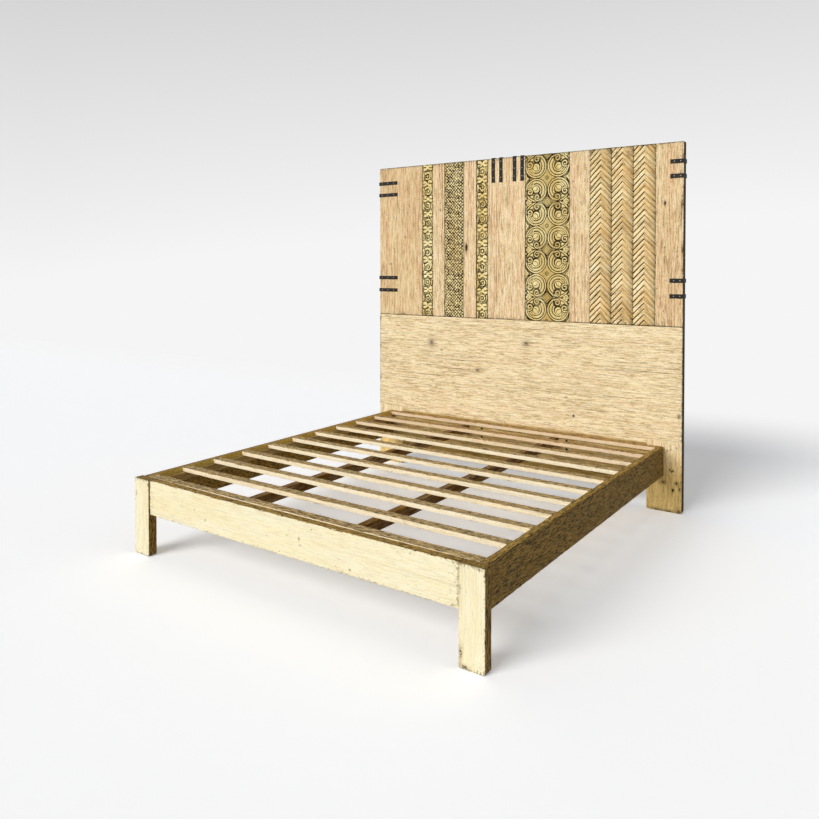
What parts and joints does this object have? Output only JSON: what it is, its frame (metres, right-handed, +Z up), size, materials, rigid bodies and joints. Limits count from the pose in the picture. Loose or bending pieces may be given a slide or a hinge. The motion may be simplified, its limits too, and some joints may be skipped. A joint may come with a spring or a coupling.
{
  "type": "wooden bed",
  "caption": "Low slatted wooden platform bed with a tall headboard of reclaimed planks, some carved, clasped at its edges by black iron straps.",
  "frame": {"origin": "on the floor, under the middle of the bounding box", "axes": "+Z up; +Y from the foot of the bed to the headboard's back; +X to the right, seen from the foot"},
  "size_m": [2.1866, 2.1092, 2.1233],
  "materials": {
    "frame_wood": "bleached, worn, open grain",
    "slat_wood": "sawn, lightly worn",
    "support_wood": "dark, rough sawn",
    "panel_wood": "pale, brushed horizontal grain",
    "board_wood": "weathered vertical grain",
    "carved_wood": "carved relief, dark in the recesses",
    "lattice_wood": "dense carved relief, darkened",
    "chevron_wood": "chevron grooves, worn",
    "iron": "blackened, matt"
  },
  "bodies": {
    "root": {"front_leg_left": "frame_wood", "front_leg_right": "frame_wood", "foot_rail": "frame_wood", "side_rail_left": "frame_wood", "side_rail_right": "frame_wood", "head_rail": "frame_wood", "ledger_left": "support_wood", "ledger_right": "support_wood", "support_beam_left": "support_wood", "support_beam_right": "support_wood", "slat_01": "slat_wood", "slat_02": "slat_wood", "slat_03": "slat_wood", "slat_04": "slat_wood", "slat_05": "slat_wood", "slat_06": "slat_wood", "slat_07": "slat_wood", "slat_08": "slat_wood", "slat_09": "slat_wood", "slat_10": "slat_wood", "slat_11": "slat_wood", "headboard_post_left": "frame_wood", "headboard_post_right": "frame_wood", "headboard_bottom_rail": "frame_wood", "headboard_middle_rail": "board_wood", "headboard_top_rail": "board_wood", "lower_panel": "panel_wood", "board_01_plain": "board_wood", "board_02_leaf": "carved_wood", "board_03_plain": "board_wood", "board_04_lattice": "lattice_wood", "board_05_plain": "board_wood", "board_06_leaf": "carved_wood", "board_07_plain": "board_wood", "board_08_scroll": "carved_wood", "board_09_plain": "board_wood", "board_10_chevron": "chevron_wood", "board_11_chevron": "chevron_wood", "board_12_chevron": "chevron_wood", "board_13_plain": "board_wood", "strap_left_1": "iron", "strap_left_2": "iron", "strap_left_3": "iron", "strap_left_4": "iron", "strap_right_1": "iron", "strap_right_2": "iron", "strap_right_3": "iron", "strap_right_4": "iron", "strap_top_1": "iron", "strap_top_2": "iron", "strap_top_3": "iron", "strap_top_4": "iron", "bolt_left_1": "iron", "bolt_left_2": "iron", "bolt_right_1": "iron", "bolt_right_2": "iron"}
  },
  "joints": []
}
